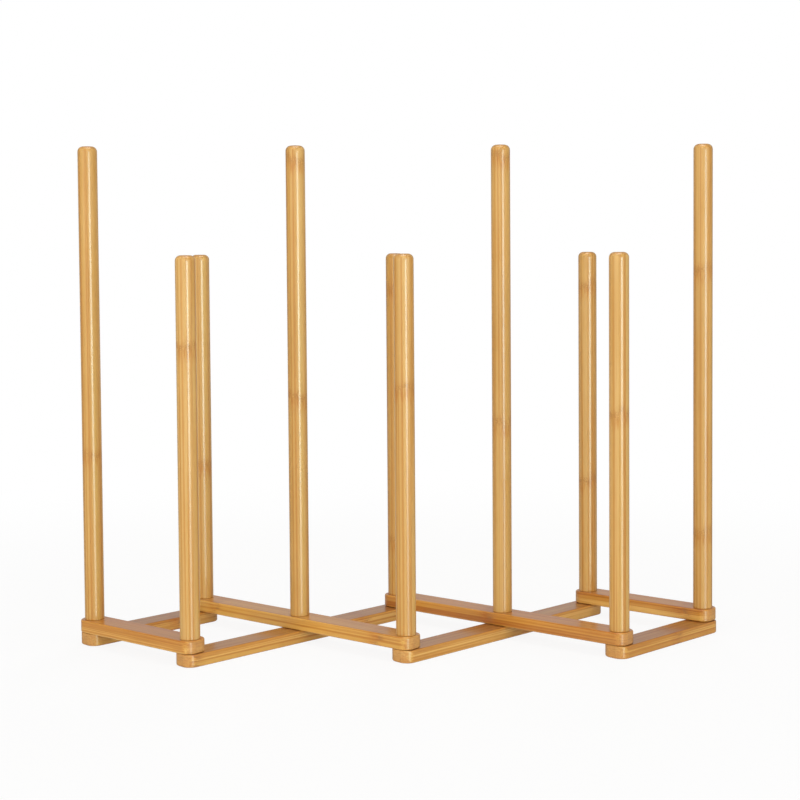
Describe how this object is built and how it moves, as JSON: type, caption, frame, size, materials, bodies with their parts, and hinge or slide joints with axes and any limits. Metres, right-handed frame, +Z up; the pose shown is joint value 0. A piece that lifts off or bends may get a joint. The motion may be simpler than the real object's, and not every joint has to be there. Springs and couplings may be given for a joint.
{
  "type": "expandable drying rack",
  "caption": "Free-standing expandable bamboo drying rack: upright tall and short pegs on a lazy-tongs base of crossed bars that folds narrow or opens wide.",
  "frame": {"origin": "middle of the base, on the surface that the rack stands on", "axes": "+X along the rack's length to its right-hand end, -Y to its front, +Z up along the pegs"},
  "size_m": [0.6012, 0.1946, 0.4643],
  "materials": {
    "bar_bamboo": "satin lacquered laminated bamboo, in two plies",
    "peg_bamboo": "gloss lacquered laminated bamboo dowel",
    "zinc_steel": "bright zinc plate"
  },
  "bodies": {
    "upper_bar_left_end": {"upper_bar_left_end": "bar_bamboo", "tall_peg_left_end": "peg_bamboo", "washer_left_end": "zinc_steel", "screw_left_end": "zinc_steel", "short_peg_front_left": "peg_bamboo", "washer_front_left": "zinc_steel", "screw_front_left": "zinc_steel"},
    "upper_bar_left": {"upper_bar_left": "bar_bamboo", "short_peg_back_left": "peg_bamboo", "washer_back_left": "zinc_steel", "screw_back_left": "zinc_steel", "tall_peg_left_crossing": "peg_bamboo", "washer_left_crossing": "zinc_steel", "screw_left_crossing": "zinc_steel", "short_peg_front_centre": "peg_bamboo", "washer_front_centre": "zinc_steel", "screw_front_centre": "zinc_steel"},
    "upper_bar_right": {"upper_bar_right": "bar_bamboo", "short_peg_back_centre": "peg_bamboo", "washer_back_centre": "zinc_steel", "screw_back_centre": "zinc_steel", "tall_peg_right_crossing": "peg_bamboo", "washer_right_crossing": "zinc_steel", "screw_right_crossing": "zinc_steel", "short_peg_front_right": "peg_bamboo", "washer_front_right": "zinc_steel", "screw_front_right": "zinc_steel"},
    "upper_bar_right_end": {"upper_bar_right_end": "bar_bamboo", "short_peg_back_right": "peg_bamboo", "washer_back_right": "zinc_steel", "screw_back_right": "zinc_steel", "tall_peg_right_end": "peg_bamboo", "washer_right_end": "zinc_steel", "screw_right_end": "zinc_steel"},
    "lower_bar_left_end": {"lower_bar_left_end": "bar_bamboo"},
    "lower_bar_left": {"lower_bar_left": "bar_bamboo"},
    "lower_bar_right": {"lower_bar_right": "bar_bamboo"},
    "lower_bar_right_end": {"lower_bar_right_end": "bar_bamboo"}
  },
  "joints": [
    {"name": "fold", "type": "hinge", "parent": "upper_bar_left", "child": "lower_bar_left", "pos_m": [-0.09601, 0, 0], "axis": [0, 0, 1], "range_deg": [-70.8, 85.2]},
    {"name": "back_left_pivot", "type": "hinge", "parent": "upper_bar_left", "child": "lower_bar_left_end", "pos_m": [-0.19203, 0.08465, 0], "axis": [0, 0, 1], "range_deg": [-70.8, 85.2]},
    {"name": "front_left_pivot", "type": "hinge", "parent": "lower_bar_left", "child": "upper_bar_left_end", "pos_m": [-0.19203, -0.08465, 0], "axis": [0, 0, 1], "range_deg": [-85.2, 70.8]},
    {"name": "back_centre_pivot", "type": "hinge", "parent": "lower_bar_left", "child": "upper_bar_right", "pos_m": [0, 0.08465, 0], "axis": [0, 0, 1], "range_deg": [-85.2, 70.8]},
    {"name": "right_crossing_pivot", "type": "hinge", "parent": "upper_bar_right", "child": "lower_bar_right", "pos_m": [0.09601, 0, 0], "axis": [0, 0, 1], "range_deg": [-70.8, 85.2]},
    {"name": "front_right_pivot", "type": "hinge", "parent": "upper_bar_right", "child": "lower_bar_right_end", "pos_m": [0.19203, -0.08465, 0], "axis": [0, 0, 1], "range_deg": [-70.8, 85.2]},
    {"name": "back_right_pivot", "type": "hinge", "parent": "lower_bar_right", "child": "upper_bar_right_end", "pos_m": [0.19203, 0.08465, 0], "axis": [0, 0, 1], "range_deg": [-85.2, 70.8]}
  ],
  "couplings": [
    {"joint": "back_left_pivot", "follows": "fold", "ratio": 1},
    {"joint": "front_left_pivot", "follows": "fold", "ratio": -1},
    {"joint": "back_centre_pivot", "follows": "fold", "ratio": -1},
    {"joint": "right_crossing_pivot", "follows": "fold", "ratio": 1},
    {"joint": "front_right_pivot", "follows": "fold", "ratio": 1},
    {"joint": "back_right_pivot", "follows": "fold", "ratio": -1}
  ]
}
